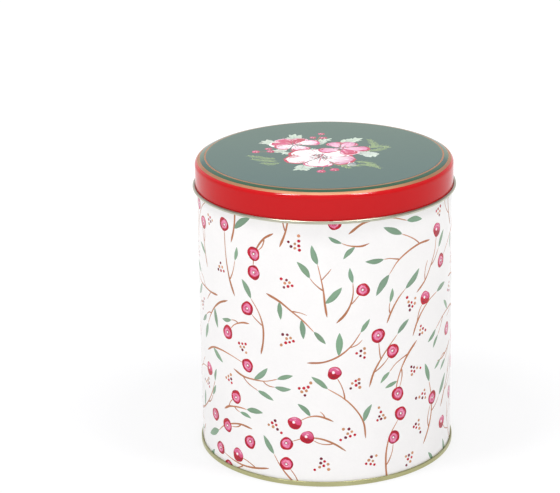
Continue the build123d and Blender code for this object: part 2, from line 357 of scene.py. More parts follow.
def grow_sprig(room, p, a, size, rng):
    """One sprig: a stem, side twigs and what they end in. None if it has no room."""
    bend = rng.choice([-1, 1]) * rng.uniform(20, 75)
    stem, end_a = bough(p, a, size, bend, rng)
    chain = spline(stem, 1.5)
    if room.gap(chain, 3.0) < 0:
        return None
    twigs, leaves, berries = [(rng.uniform(0.95, 1.25), 0.40, stem)], [], []
    mine = Room()

    def fits(points, radius):
        return room.gap(points, radius + 2.3) > 0 and (not len(mine.spots) or mine.gap(points, radius + 1.3) > 0)

    def hang(tip, b, what):
        """A berry or a leaf at the end of a twig that points along b."""
        tip = np.array(tip)
        if what == "berry":
            c = tip + heading(b) * 3.3
            if fits(c, 3.6):
                berries.append((c[0], c[1], "b" if rng.uniform() < 0.22 else "a"))
                mine.take(c, 3.6)
                return True
        n = rng.uniform(8.0, 12.8)
        for n in (n, 7.5):
            q = tip + heading(b) * n
            w = min(3.6, max(2.1, 0.285 * n)) * rng.uniform(0.9, 1.05)
            body = between(tip + heading(b) * 1.5, q, 6)
            if fits(body, w / 2):
                leaves.append((tip[0], tip[1], q[0], q[1], w))
                mine.take(body, w / 2)
                return True
        return False

    hang(stem[-1], end_a + rng.uniform(-12, 12), "berry" if rng.uniform() < 0.50 else "leaf")
    side = rng.choice([-1, 1])
    nodes = [0.28, 0.50, 0.74] if size > 17 else [0.5]
    for f in nodes:
        side = -side
        i = int(f * (len(chain) - 1))
        q, d = chain[i], chain[min(i + 1, len(chain) - 1)] - chain[max(i - 1, 0)]
        b = math.degrees(math.atan2(d[1], d[0])) + side * rng.uniform(38, 62)
        n = size * rng.uniform(0.30, 0.46) * (1.12 - 0.5 * f)
        chance = rng.uniform()
        if chance < 0.24:
            hang(q + heading(b) * 0.3, b, "leaf")
            continue
        if chance < 0.38:  # a bare fork
            pts, _ = bough(q, b, n * 0.8, -side * rng.uniform(5, 45), rng, 3)
            if fits(spline(pts, 1.2)[3:], 0.5):
                twigs.append((0.6, 0.34, pts))
                mine.take(spline(pts, 1.2)[3:], 0.5)
            continue
        pts, b2 = bough(q, b, n, -side * rng.uniform(15, 60), rng, 3)
        if not fits(spline(pts, 1.2)[3:], 0.8):
            continue
        before = len(mine.spots)
        if hang(pts[-1], b2, "berry" if rng.uniform() < 0.72 else "leaf"):
            twigs.append((0.66, 0.36, pts))
            mine.take(spline(pts, 1.2)[3:], 0.5)
            if n > 6 and rng.uniform() < 0.6:
                hang(pts[2], b2 - side * rng.uniform(45, 65), "leaf")
    mine.take(chain[:-2], 0.5)
    if len(leaves) + len(berries) < 2:
        return None
    room.spots = np.vstack([room.spots, mine.spots])
    return twigs, leaves, berries


def wall_print():
    """Sprigs, berries and dots strewn over the unrolled wall, in (arc, height) mm."""
    rng = np.random.default_rng(2024)
    room = Room()
    twigs, leaves, berries, clusters = [], [], [], []
    lo, hi = CREASE - TURN, CREASE
    for size, tries in ((31, 900), (25, 900), (19, 900), (13, 500)):
        for _ in range(tries):
            p = (rng.uniform(lo - 4, hi + 4), rng.uniform(-6, 150))
            a = rng.choice([70, 105, 50, 130, 20, 160, 90, -20, 200]) + rng.uniform(-16, 16)
            got = grow_sprig(room, p, a, size * rng.uniform(0.88, 1.15), rng)
            if got:
                twigs += got[0]
                leaves += got[1]
                berries += got[2]
    for _ in range(5000):
        p = (rng.uniform(lo, hi), rng.uniform(0, 150))
        gap = room.gap(p, 0)
        if gap > 6.2 and rng.uniform() < 0.4:
            berries.append((p[0], p[1], "a"))
            room.take(p, 4.2)
        elif gap > 5.6:
            clusters.append(p)
            room.take(p, 9.0)
    part = []
    for w0, w1, points in twigs:
        paint_twig(part, points, w0, w1, rng)
    for x0, y0, x1, y1, w in leaves:
        paint_leaf(part, x0, y0, x1, y1, w, rng)
    for x, y in clusters:
        paint_cluster(part, x, y, rng)
    for x, y, kind in berries:
        paint_berry(part, x, y, kind, rng)
    print("wall print:", len(twigs), "twigs", len(leaves), "leaves", len(berries), "berries", len(clusters), "clusters")
    shapes = []
    for outline, colour in part:
        if outline[:, 0].max() < lo + 0.4 or outline[:, 0].min() > hi - 0.4:
            continue
        if outline[:, 1].max() < PRINT_LO + 0.1 or outline[:, 1].min() > PRINT_HI - 0.1:
            continue
        outline[:, 0] = outline[:, 0].clip(lo + 0.35, hi - 0.35)
        outline[:, 1] = outline[:, 1].clip(PRINT_LO + 0.03, PRINT_HI - 0.03)
        shapes.append((outline, colour))
    return shapes


# ---------------------------------------------------------- print on the lid
def paint_flower(out, x, y, petals, rng, heart):
    """petals: (angle, length, width, body, tip, mark) each, drawn in order."""
    for angle, length, width, body, tip, mark in petals:
        b, t, m = shade(body, rng, 0.03), shade(tip, rng, 0.05), shade(mark, rng, 0.10)
        # the mark's colour shows unevenly round the petal, laid down first
        off = rng.uniform(-0.55, 0.55, 2)
        under, u, s, c = petal(x + off[0], y + off[1], angle, length * 1.06, width * 1.15, rng, 0.05)
        out.append((under, fade(c + u * length * 0.15, c + u * length * 0.75, SAGE_DARK * 0.62, m)))
        shape, u, s, c = petal(x, y, angle, length, width, rng, rng.uniform(0.04, 0.12))
        out.append((shape, fade(c + u * length * 0.25, c + u * length * 0.95, b, t)))

        def at(along, across):
            wide = math.sqrt(max(0.0, 1 - max(0.0, (along - 0.55) / 0.46) ** 2)) * min(1.0, 0.25 + along * 1.3)
            return c + u * length * along * 0.95 + s * width * 0.5 * across * wide

        for k in range(8):  # brush marks along the outer edge
            side, f0 = rng.choice([-1, 1]), rng.uniform(0.42, 0.78)
            f1 = min(f0 + rng.uniform(0.12, 0.30), 0.95)
            e = rng.uniform(0.70, 0.90) * side
            tone = m if k % 3 else shade(tip, rng, 0.10) * 0.9
            out.append((stroke([at(f0, e), at((f0 + f1) / 2, e * 0.98), at(f1, e * 0.92)], 0.35, rng.uniform(0.7, 1.25), rng, 0.7, 0.25), one(tone)))
        for k in range(5):  # thin ones along it, from the heart
            e = rng.uniform(-0.7, 0.7)
            f1 = rng.uniform(0.42, 0.72)
            tone = [b * 0.80, m, np.clip(b * 1.12, 0, 1)][k % 3]
            out.append((stroke([at(0.12, e * 0.6), at(f1 * 0.6, e * 0.8), at(f1, e)], 0.30, 0.14, rng, 1.0, 0.2), one(tone)))
        # a lit fold
        e = rng.uniform(-0.35, 0.35)
        out.append((stroke([at(0.62, e), at(0.76, e * 1.3 + 0.1)], 0.5, 0.9, rng, 0.8, 0.2), one(np.clip(b * 1.15, 0, 1))))
    for k in range(heart):
        a = rng.uniform(0, 2 * np.pi)
        r0, r1 = rng.uniform(0.5, 1.2), rng.uniform(1.8, 4.2) * (1.45 if heart > 16 else 0.95)
        d = np.array([math.cos(a), math.sin(a)])
        tone = [srgb(96, 116, 100), srgb(70, 92, 78), CRIMSON][k % 3]
        out.append((stroke([np.array([x, y]) + d * r0, np.array([x, y]) + d * r1], 0.34, 0.24, rng, 1.0), one(shade(tone, rng))))
        out.append((blob(x + d[0] * r1, y + d[1] * r1, rng.uniform(0.40, 0.62), rng, 9, 0.05), one(shade([DEEP, CRIMSON, srgb(92, 112, 98)][k % 3], rng))))
    out.append((blob(x, y, 0.8, rng, 14, 0.1), one(shade(BLUSH, rng, 0.04))))


def paint_sage(out, x0, y0, x1, y1, width, lobes, rng):
    """A divided leaf: a long blade with pairs of pointed side blades."""
    base, tip = np.array([x0, y0], float), np.array([x1, y1], float)
    length = np.linalg.norm(tip - base)
    a = math.degrees(math.atan2(*(tip - base)[::-1]))
    rib = base + (tip - base) * 0.7
    c = shade(SAGE, rng, 0.06)
    blades = [(base + (tip - base) * 0.35, tip, width * 0.36)]
    for f in np.linspace(0.12, 0.62, lobes + 1):
        for side in (-1, 1):
            p = base + (tip - base) * f
            n = width * rng.uniform(0.62, 0.80) * (1.15 - 0.5 * f)
            blades.append((p, p + heading(a + side * rng.uniform(32, 50)) * n, max(1.1, n * 0.40)))
    for p, q, w in blades[::-1]:
        body, mid = leaf(*p, *q, w, rng, n=9, full=0.7)
        k = shade(c, rng, 0.07)
        out.append((body, fade(p, q, k * 0.84, k * 1.05)))
        out.append((stroke(mid[1:-2], 0.20, 0.10, rng, 1.5), one(shade(SAGE_DARK, rng))))
    out.append((stroke([base, rib], 0.38, 0.20, rng, 1.5), one(shade(SAGE_DARK, rng))))


def paint_fir(out, points, length, rng):
    line = spline(points, 1.15)
    d = np.gradient(line, axis=0)
    d /= np.linalg.norm(d, axis=1, keepdims=True)
    for i in range(1, len(line)):
        grow = 0.55 + 0.45 * math.sin(math.pi * min(1, i / len(line) + 0.12))
        for side in (-1, 1):
            a = math.atan2(d[i][1], d[i][0]) + side * math.radians(rng.uniform(34, 50))
            n = length * grow * rng.uniform(0.85, 1.1)
            tip = line[i] + n * np.array([math.cos(a), math.sin(a)])
            out.append((stroke([line[i], tip], 0.42, 0.20, rng, 1.2, 0.1, 0.06), one(shade(FIR if rng.uniform() < 0.7 else FIR_DARK, rng, 0.14))))
    out.append((stroke(points, 0.45, 0.25, rng, 1.2), one(shade(FIR_DARK, rng))))


def paint_haw(out, x, y, r, rng):
    out.append((blob(x, y, r, rng, 20, 0.06), fade((x - r, y + r), (x + r, y - r), shade(ROSE, rng), CRIMSON * 0.85)))
    out.append((stroke(sweep(x, y, r * 0.55, 100, 200), 0.5, 0.25, rng, 0.5), one(shade(BLUSH, rng, 0.04))))
    out.append((blob(x + 0.2 * r, y - 0.25 * r, 0.32, rng, 9, 0.05), one(CREAM)))


def lid_print():
    """A loose bunch of flowers, leaves and berries, in millimetres on the panel."""
    rng = np.random.default_rng(12)
    out = []
    for pts in ([(22, 8), (26, 14), (24, 24)], [(24, 9), (29, 12), (32, 11)], [(20, 3), (27, 5), (33, 9.5)]):
        paint_fir(out, pts, 3.6, rng)
    for pts in ([(-24, -9), (-31, -6), (-38, -2)], [(-23, -12), (-29, -11.5), (-36, -8)], [(-22, -15), (-27, -17), (-31, -15.5)]):
        paint_fir(out, pts, 3.2, rng)
    for pts in ([(8, -19), (14, -22), (21, -21), (27, -27)], [(4, -17), (9, -22), (12, -26)], [(15, -15), (21, -17), (26, -24)]):
        paint_fir(out, pts, 3.0, rng)
    for a in (
        (-15, 22, -14, 37, 8.5, 3), (-22, 18, -32, 24.5, 8, 3), (-6, 19, 5, 27.5, 6, 2), (-3, 16, 1.5, 24, 5, 2),
        (8, 18, 21, 27, 8, 3), (19, 0, 27, -5.5, 8, 3), (16, -1, 24, 1, 6, 2), (-10, -18, -12, -29, 9, 3),
        (-8, -18, -4, -24, 5.5, 2), (-20, 4, -24, 8.5, 6.5, 2), (-17, 3, -21, 1.5, 5, 2), (-9, 5, -4, 9, 4, 2),
    ):
        paint_sage(out, *a, rng)
    for pts, w in (
        ([(-6, 17), (-3, 24), (-1, 32)], 0.5), ([(-3, 24), (-5, 28)], 0.4), ([(-2.5, 25), (0, 28.5)], 0.4),
        ([(-22, 5), (-28, 4.5), (-33, 5)], 0.45), ([(-27, 5), (-28, 9.5)], 0.4),
        ([(0, -20), (-1, -27), (-2, -30)], 0.5), ([(1, -22), (4, -27)], 0.4),
    ):
        out.append((stroke(pts, w, w * 0.7, rng, 1.2), one(shade(TWIG_DARK, rng))))
    for x, y, r in (
        (-0.5, 36, 1.9), (-5, 29.5, 1.8), (0.5, 28.5, 2.0), (-34.5, 5, 2.1), (-28, 10, 1.9), (-27, 5.2, 2.1),
        (-2, -31, 2.3), (4.6, -28.5, 2.4),
    ):
        paint_haw(out, x, y, r, rng)
    red = srgb(196, 34, 72)
    paint_flower(out, -15, 17, [
        (128, 12, 9, red, ROSE, BLUSH), (70, 11.5, 8.5, red, CRIMSON, BLUSH), (172, 12, 8.5, ROSE, red, CREAM),
        (22, 13, 9.5, CREAM, BLUSH, ROSE), (218, 10.5, 8.5, CREAM, BLUSH, red), (292, 11.5, 9.5, CREAM, PINK, red),
    ], rng, 12)
    paint_flower(out, -1.5, -6.5, [
        (88, 14, 12, CREAM, CREAM, ROSE), (30, 15.5, 13.5, CREAM, CREAM, CRIMSON), (140, 17, 14, CREAM, CREAM, CRIMSON),
        (196, 18, 12.5, CREAM, CREAM, CRIMSON), (332, 17.5, 14.5, CREAM, MAUVE, CRIMSON), (262, 16, 14, CREAM, CREAM, ROSE),
    ], rng, 36)
    paint_flower(out, 9, 9, [
        (112, 11.5, 8.5, BLUSH, MAUVE, CRIMSON), (58, 12, 9, BLUSH, MAUVE, CRIMSON), (352, 13.5, 8, BLUSH, MAUVE, red),
        (206, 11.5, 8.5, BLUSH, MAUVE, red), (296, 12.5, 9.5, ROSE, CRIMSON, BLUSH),
    ], rng, 13)
    for k in range(5):  # a small seed head
        out.append((stroke(sweep(13.5, -20 + k * 0.9, 2.6 - 0.35 * k, 200 - 12 * k, 330 + 8 * k, 5), 0.5, 0.3, rng, 0.7), one(shade(LILAC if k % 2 else CREAM, rng, 0.05))))
    return out


# ------------------------------------------------------------------- inlay
def inside(outline, p):
    """Which points the outline winds round."""
    a, b = outline[:, None], np.roll(outline, -1, 0)[:, None]
    left = (b[..., 0] - a[..., 0]) * (p[:, 1] - a[..., 1]) - (p[:, 0] - a[..., 0]) * (b[..., 1] - a[..., 1])
    up = (a[..., 1] <= p[:, 1]) & (b[..., 1] > p[:, 1]) & (left > 0)
    down = (a[..., 1] > p[:, 1]) & (b[..., 1] <= p[:, 1]) & (left < 0)
    return up.sum(0) != down.sum(0)


def inlay(shapes, points, edges):
    """Cuts a flat region into triangles that follow every outline. Returns the
    points, the triangles and the topmost shape over each, or -1."""
    co = [Vector((float(x), float(y))) for x, y in points]
    edges = list(edges)
    for outline, _ in shapes:
        keep = [outline[0]]
        for p in outline[1:]:
            if np.abs(p - keep[-1]).max() > 2e-3:
                keep.append(p)
        first = len(co)
        co += [Vector((float(x), float(y))) for x, y in keep]
        edges += [(first + k, first + (k + 1) % len(keep)) for k in range(len(keep))]
    v, _, f, _, _, _ = delaunay_2d_cdt(co, edges, [], 0, 1e-4, False)
    flat = np.array([(p.x, p.y) for p in v])
    tri = np.array([(face[0], face[k], face[k + 1]) for face in f for k in range(1, len(face) - 1)])
    tri = tri[np.argsort(flat[tri, 0].mean(1), kind="stable")]
    mid = flat[tri].mean(1)
    top = np.full(len(tri), -1)
    for i, (outline, _) in enumerate(shapes):
        lo, hi = outline.min(0), outline.max(0)
        first, last = np.searchsorted(mid[:, 0], (lo[0], hi[0]))
        near = first + np.flatnonzero((mid[first:last, 1] > lo[1]) & (mid[first:last, 1] < hi[1]))
        if len(near):
            top[near[inside(outline, mid[near])]] = i
    return flat, tri, top


def inks(shapes, flat, tri, top, ground):
    """A colour for each corner of each triangle."""
    out = np.empty((len(tri), 3, 3))
    out[:] = ground
    order = np.argsort(top, kind="stable")
    bounds = np.flatnonzero(np.diff(top[order])) + 1
    for group in np.split(order, bounds):
        which = top[group[0]]
        if which >= 0:
            out[group] = shapes[which][1](flat[tri[group]].reshape(-1, 2)).reshape(-1, 3, 3)
    return np.clip(out, 0, 1)


# ------------------------------------------------------------ closed shells
def line(r0, z0, r1, z1, n=1):
    """Straight part of a section, as (r, z, nr, nz); the outside is on the right."""
    d = math.hypot(r1 - r0, z1 - z0)
    nr, nz = (z1 - z0) / d, -(r1 - r0) / d
    return [(r0 + (r1 - r0) * i / n, z0 + (z1 - z0) * i / n, nr, nz) for i in range(n + 1)]


def arc(c, radius, a0, a1, n):
    """Round part of a section, angles in degrees."""
    turn = 1 if a1 > a0 else -1
    out = []
    for i in range(n + 1):
        a = math.radians(a0 + (a1 - a0) * i / n)
        out.append((c[0] + radius * math.cos(a), c[1] + radius * math.sin(a), turn * math.cos(a), turn * math.sin(a)))
    return out


class Shell:
    """One sheet-metal piece, turned round the tin's axis as a closed mesh."""

    def __init__(self, name, theta, relief=None):
        self.name, self.theta = name, np.array(theta)
        self.relief = relief  # radial relief: (theta, z, surface) -> mm
        self.n = len(self.theta)
        self.co, self.count, self.rings = [], 0, {}
        self.tri, self.slot, self.nrm, self.ink, self.uv = [], [], [], [], []

    def lift(self, theta, z, surface):
        if self.relief is None or surface is None:
            return np.zeros(np.broadcast(theta, z).shape)
        return self.relief(theta, z, surface)

    def points(self, co):
        """Adds points given as an (n, 3) array and returns their numbers."""
        self.co.append(np.asarray(co, float))
        first = self.count
        self.count += len(co)
        return np.arange(first, self.count)

    def ring(self, r, z, surface=None):
        key = (round(r, 4), round(z, 4))
        if key not in self.rings:
            if r < 1e-6:
                self.rings[key] = np.repeat(self.points([(0, 0, z)]), self.n)
            else:
                rr = r + self.lift(self.theta, z, surface)
                self.rings[key] = self.points(
                    np.stack([rr * np.sin(self.theta), -rr * np.cos(self.theta), np.full(self.n, z)], 1)
                )
        return self.rings[key]

    def normals(self, theta, z, nr, nz, surface):
        """Outward normals of a turned surface, its relief included."""
        theta, z, nr, nz = np.broadcast_arrays(theta, z, nr, nz)
        ds = np.zeros(theta.shape)
        if self.relief is not None and surface is not None:
            h = 0.02 / WALL_R
            ds = (self.lift(theta + h, z, surface) - self.lift(theta - h, z, surface)) / 0.04
        t = -ds * np.sign(nr)
        n = np.stack([nr * np.sin(theta) + t * np.cos(theta), -nr * np.cos(theta) + t * np.sin(theta), nz], -1)
        return n / np.linalg.norm(n, axis=-1, keepdims=True)

    def add(self, tri, slot, nrm, ink, uv):
        self.tri.append(tri)
        self.slot.append(np.full(len(tri), slot))
        self.nrm.append(nrm)
        self.ink.append(np.broadcast_to(ink, (len(tri), 3, 3)))
        self.uv.append(uv)

    def turn(self, section, slot, place, ink=WHITE, surface=None):
        """Turns a section, a list of (r, z, nr, nz). place says where it lies on
        the bake map: ("strip", u0, v0, u1, v1) or ("disc", cx, cy, per_mm)."""
        s = np.array(section)
        far = np.concatenate([[0], np.cumsum(np.hypot(*np.diff(s[:, :2], axis=0).T))])
        far /= far[-1]
        a = np.arange(self.n)
        b = (a + 1) % self.n
        tb = self.theta[b] + (b < a) * 2 * np.pi
        for i in range(len(s) - 1):
            lo, hi = self.ring(*s[i, :2], surface), self.ring(*s[i + 1, :2], surface)
            q = np.stack([lo[a], lo[b], hi[b], hi[a]], 1)
            th = np.stack([self.theta[a], tb, tb, self.theta[a]], 1)
            row = np.array([i, i, i + 1, i + 1])
            nr, nz, z, r = s[row, 2], s[row, 3], s[row, 1], s[row, 0]
            nrm = self.normals(th, z[None], nr[None], nz[None], surface)
            if place[0] == "disc":
                _, cx, cy, per = place
                uv = np.stack([cx + per * r * np.sin(th), cy - per * r * np.cos(th)], -1)
            else:
                _, u0, v0, u1, v1 = place
                f = (th - self.theta[0]) / (2 * np.pi)
                uv = np.stack([u0 + (u1 - u0) * f, np.broadcast_to(v0 + (v1 - v0) * far[row], f.shape)], -1)
            for pick in ((0, 1, 2), (0, 2, 3)):
                t = q[:, pick]
                good = (t[:, 0] != t[:, 1]) & (t[:, 1] != t[:, 2]) & (t[:, 0] != t[:, 2])
                if good.any():
                    self.add(t[good], slot, nrm[:, pick][good], ink, uv[:, pick][good])

    def build(self, materials):
        tri = np.concatenate(self.tri)
        co = np.concatenate(self.co) * 0.001
        me = bpy.data.meshes.new(self.name)
        me.vertices.add(len(co))
        me.vertices.foreach_set("co", co.astype(np.float32).ravel())
        me.loops.add(tri.size)
        me.loops.foreach_set("vertex_index", tri.astype(np.int32).ravel())
        me.polygons.add(len(tri))
        me.polygons.foreach_set("loop_start", np.arange(0, tri.size, 3, dtype=np.int32))
        me.polygons.foreach_set("material_index", np.concatenate(self.slot).astype(np.int32))
        me.polygons.foreach_set("use_smooth", np.ones(len(tri), bool))
        me.update(calc_edges=True)
        if me.validate(verbose=True):
            raise RuntimeError(self.name + ": the mesh had to be repaired")
        uv = me.uv_layers.new(name="OFBake")
        uv.uv.foreach_set("vector", np.concatenate(self.uv).reshape(-1, 2).astype(np.float32).ravel())
        ink = me.color_attributes.new(name="ink", type="FLOAT_COLOR", domain="CORNER")
        rgba = np.ones((tri.size, 4), np.float32)
        rgba[:, :3] = np.concatenate(self.ink).reshape(-1, 3)
        ink.data.foreach_set("color", rgba.ravel())
        me.normals_split_custom_set(np.concatenate(self.nrm).reshape(-1, 3).tolist())
        for m in materials:
            me.materials.append(m)
        ob = bpy.data.objects.new(self.name, me)
        bpy.context.scene.collection.objects.link(ob)
        print(self.name, "triangles", len(tri))
        return ob


# ---------------------------------------------------------------- the pieces
def step(x, a, b):
    t = np.clip((np.asarray(x, float) - a) / (b - a), 0, 1)
    return t * t * (3 - 2 * t)


S0 = CREASE - TURN
seam_lines = [0.05, 0.1, 0.15, 0.2, 0.3, 0.45, 0.6, 3.7, 3.8, 3.85, 3.9, 3.95, 4.0, 4.1, 4.2, 4.4]
seam_lines += [TURN - d for d in (0.2, 0.15, 0.1, 0.05)]
columns = np.array(sorted([TURN * k / 360 for k in range(360)] + seam_lines)) + S0
THETA = columns / WALL_R


def wall_relief(theta, z, surface):
    """The side seam: a crease outside, a folded strip inside."""
    d = np.mod(theta * WALL_R - S0, TURN)
    if surface == "out":
        g = np.minimum(d, TURN - d)
        groove = -CREASE_D * 0.5 * (1 + np.cos(np.pi * np.clip(g / 0.2, 0, 1)))
        groove = groove * step(z, 3.1, 3.4) * (1 - step(z, 149.9, 150.3))
        return groove + 0.03 * step(d, 0.2, 0.6) * (1 - step(d, 3.8, 4.4)) * step(z, 3.1, 3.6) * (1 - step(z, 149.7, 150.3))
    return -SEAM_FOLD * step(d, 0, 0.2) * (1 - step(d, 3.8, 4.0)) * step(z, 4.75, 5.0) * (1 - step(z, 148.8, 149.0))


def make_wall(ink, metal, lacquer):
    shell = Shell("Tin_Wall", THETA, wall_relief)
    shapes = wall_print()
    heights = [PRINT_LO, 3.1, 3.4] + list(np.linspace(6.5, PRINT_HI, 30))
    edge_s = np.append(columns, S0 + TURN)
    points, edges, at = [], [], {}

    def point(s, z):
        key = (round(float(s), 5), round(float(z), 5))
        if key not in at:
            at[key] = len(points)
            points.append(key)
        return at[key]

    for z in (PRINT_LO, PRINT_HI):
        for a, b in zip(edge_s[:-1], edge_s[1:]):
            edges.append((point(a, z), point(b, z)))
    lines = [S0 + TURN * k / 360 for k in range(0, 361, 3)] + [S0 + d for d in seam_lines]
    for s in lines:
        for a, b in zip(heights[:-1], heights[1:]):
            edges.append((point(s, a), point(s, b)))
    flat, tri, top = inlay(shapes, points, edges)
    a, b, c = (flat[tri[:, k]] for k in range(3))
    area = (b[:, 0] - a[:, 0]) * (c[:, 1] - a[:, 1]) - (b[:, 1] - a[:, 1]) * (c[:, 0] - a[:, 0])
    tri[area < 0] = tri[area < 0][:, ::-1]

    # weld the printed sheet to the rings above and below it and to itself
    s, z = flat.T
    low, high = shell.ring(WALL_R, PRINT_LO, "out"), shell.ring(WALL_R, PRINT_HI, "out")
    col = np.abs(columns[None] - np.where(s > S0 + TURN - 1e-3, S0, s)[:, None]).argmin(1)
    is_low, is_high = np.abs(z - PRINT_LO) < 1e-3, np.abs(z - PRINT_HI) < 1e-3
    right = s > S0 + TURN - 1e-3
    number = np.full(len(flat), -1)
    number[is_low], number[is_high] = low[col[is_low]], high[col[is_high]]
    free = ~(is_low | is_high | right)
    th = s[free] / WALL_R
    rr = WALL_R + wall_relief(th, z[free], "out")
    number[free] = shell.points(np.stack([rr * np.sin(th), -rr * np.cos(th), z[free]], 1))
    left = {round(float(z[i]), 3): i for i in np.flatnonzero(np.abs(s - S0) < 1e-3)}
    for i in np.flatnonzero(right & ~is_low & ~is_high):
        number[i] = number[left[round(float(z[i]), 3)]]

    th, zz = flat[tri][..., 0] / WALL_R, flat[tri][..., 1]
    quarter = np.clip(((flat[tri][..., 0].mean(1) - S0) / (TURN / 4)).astype(int), 0, 3)
    u = (zz - PRINT_LO) / (PRINT_HI - PRINT_LO)
    v = (flat[tri][..., 0] - S0) / (TURN / 4) - quarter[:, None]
    uv = np.stack(
        [0.006 + 0.5 * (quarter % 2)[:, None] + 0.488 * u, 0.126 + 0.44 * (quarter // 2)[:, None] + 0.428 * v], -1
    )
    shell.add(
        number[tri], 0, shell.normals(th, zz, 1.0, 0.0, "out"),
        inks(shapes, flat, tri, top, WHITE), uv,
    )

    # the rest of the section, travelled with the outside on the right
    c = (CURL_R, CURL_Z)
    t, e = MOUTH_CURL - SHEET, math.radians(MOUTH_SWEEP)
    tip_o = (c[0] + MOUTH_CURL * math.cos(e), c[1] + MOUTH_CURL * math.sin(e))
    tip_i = (c[0] + t * math.cos(e), c[1] + t * math.sin(e))
    bend, hook_in = 0.15, WALL_R + SHEET + 2 * GAP
    hook_out, flange, hook_top = hook_in + SHEET, SHEET + GAP, SEAM_H - SHEET - 3 * GAP
    strip = lambda v0, v1: ("strip", 0.006, v0, 0.994, v1)
    W, M, L = 0, 1, 2
    shell.turn(line(WALL_R, flange + SHEET, WALL_R, PRINT_LO, 1), W, strip(0.004, 0.008), surface="out")
    shell.turn(line(WALL_R, PRINT_HI, WALL_R, 150.25, 3), W, strip(0.010, 0.014), surface="out")
    shell.turn(line(WALL_R, 150.25, WALL_R, CURL_Z, 2), M, strip(0.016, 0.020), surface="out")
    shell.turn(arc(c, MOUTH_CURL, 0, MOUTH_SWEEP, 24), M, strip(0.022, 0.040))
    shell.turn(line(*tip_o, *tip_i), M, strip(0.042, 0.044))
    shell.turn(arc(c, t, MOUTH_SWEEP, 0, 12), M, strip(0.046, 0.058))
    inside = []
    for a, b, n in ((CURL_Z, 149.0, 1), (149.0, 148.8, 2), (148.8, 5.0, 4), (5.0, 4.75, 2), (4.75, 0.45, 1)):
        inside += line(WALL_IN, a, WALL_IN, b, n)[0 if not inside else 1 :]
    shell.turn(inside, L, strip(0.060, 0.096), surface="in")
    shell.turn(arc((WALL_IN + bend, 0.45), bend, 180, 270, 3), M, strip(0.098, 0.100))
    shell.turn(line(WALL_IN + bend, flange, hook_out - bend, flange), M, strip(0.101, 0.103))
    shell.turn(arc((hook_out - bend, 0.45), bend, 270, 360, 3), M, strip(0.104, 0.106))
    shell.turn(line(hook_out, 0.45, hook_out, hook_top), M, strip(0.107, 0.110))
    shell.turn(line(hook_out, hook_top, hook_in, hook_top), M, strip(0.111, 0.112))
    shell.turn(line(hook_in, hook_top, hook_in, flange + SHEET), M, strip(0.113, 0.116))
    shell.turn(line(hook_in, flange + SHEET, WALL_R, flange + SHEET), M, strip(0.117, 0.118))
    return shell.build([ink, metal, lacquer])


def bead(z, r0, r1, n=14):
    """The panel's pressed bead, with soft feet, travelled from r0 to r1."""
    out, turn = [], 1 if r1 > r0 else -1
    for i in range(n + 1):
        r = r0 + (r1 - r0) * i / n
        a = math.pi * (r - BEAD_R) / (BEAD_W / 2)
        h, g = BEAD_H * (1 + math.cos(a)) / 2, -BEAD_H * math.pi / BEAD_W * math.sin(a)
        k = math.hypot(1, g)
        out.append((r, z + h, turn * g / k, -turn / k))
    return out


